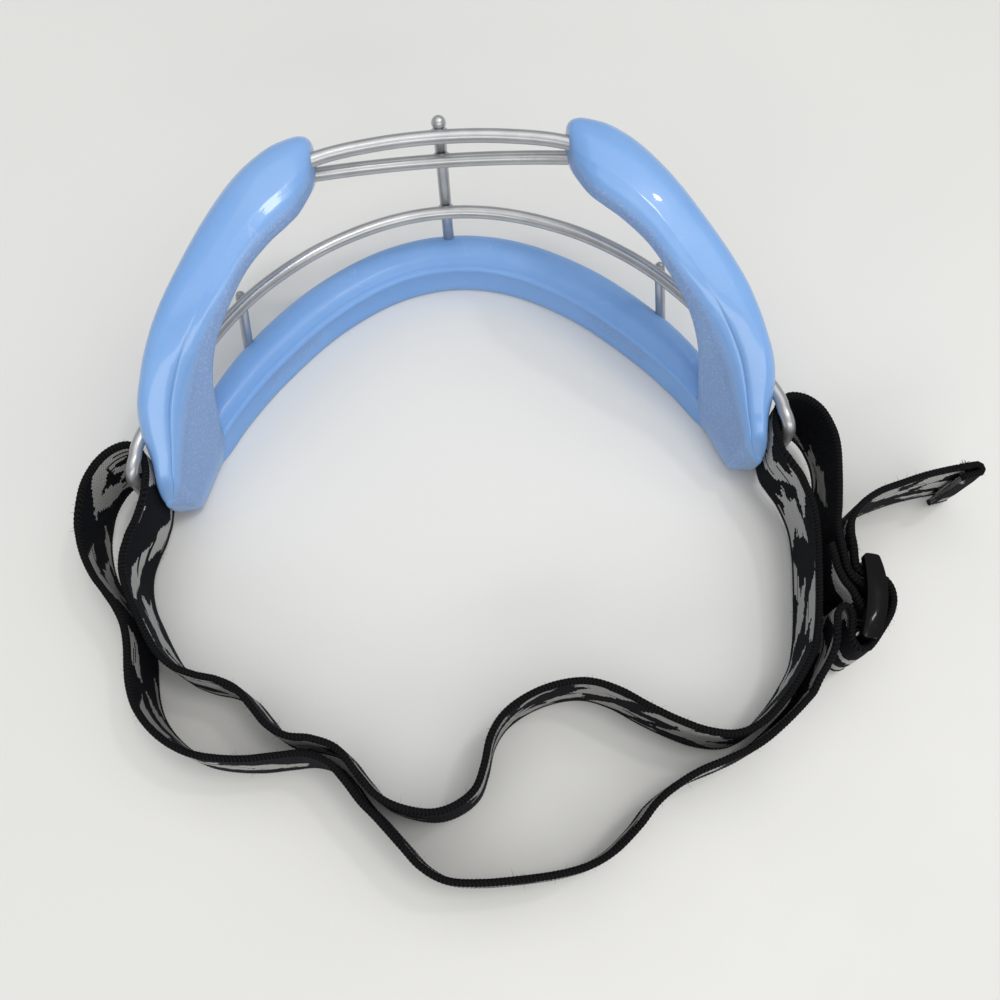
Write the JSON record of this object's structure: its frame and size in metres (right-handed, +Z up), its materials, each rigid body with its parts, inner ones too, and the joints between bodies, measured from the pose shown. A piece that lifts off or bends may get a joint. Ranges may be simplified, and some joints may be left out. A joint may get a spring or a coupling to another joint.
{
  "type": "field hockey goggles",
  "caption": "Wire-cage field hockey goggles with silicone brow and cheek pads and an elastic head strap with a slide, lying upside down on the brow pad.",
  "frame": {"origin": "middle of the brow pad's resting face, on the table", "axes": "+X to the side of the strap slide, +Y forward, away from the face, +Z up as the goggles lie upside down"},
  "size_m": [0.245, 0.1941, 0.0686],
  "materials": {
    "steel": "satin",
    "silicone": "glossy",
    "webbing": "woven",
    "slide_plastic": "glossy"
  },
  "bodies": {
    "goggles": {"rim_wire": "steel", "nose_wire": "steel", "eye_wire": "steel", "centre_bar": "steel", "side_bar_left": "steel", "side_bar_right": "steel", "strap_loop_left": "steel", "strap_loop_right": "steel", "brow_pad": "silicone", "cheek_pad_left": "silicone", "cheek_pad_right": "silicone", "strap_turn_left": "webbing", "strap_turn_right": "webbing", "strap_inner_left": "webbing", "strap_inner_right": "webbing", "strap_outer_left": "webbing", "strap_outer_right": "webbing", "strap_feed": "webbing", "strap_take_up": "webbing"},
    "slide": {"strap_slide": "slide_plastic", "strap_sewn_end": "webbing", "strap_free_run": "webbing", "strap_tail": "webbing"}
  },
  "joints": [
    {"name": "slide_travel", "type": "slide", "parent": "goggles", "child": "slide", "axis": [0.2199, 0.9755, 0], "range_m": [-0.005, 0.012], "deforming": ["strap_feed", "strap_take_up"]}
  ]
}
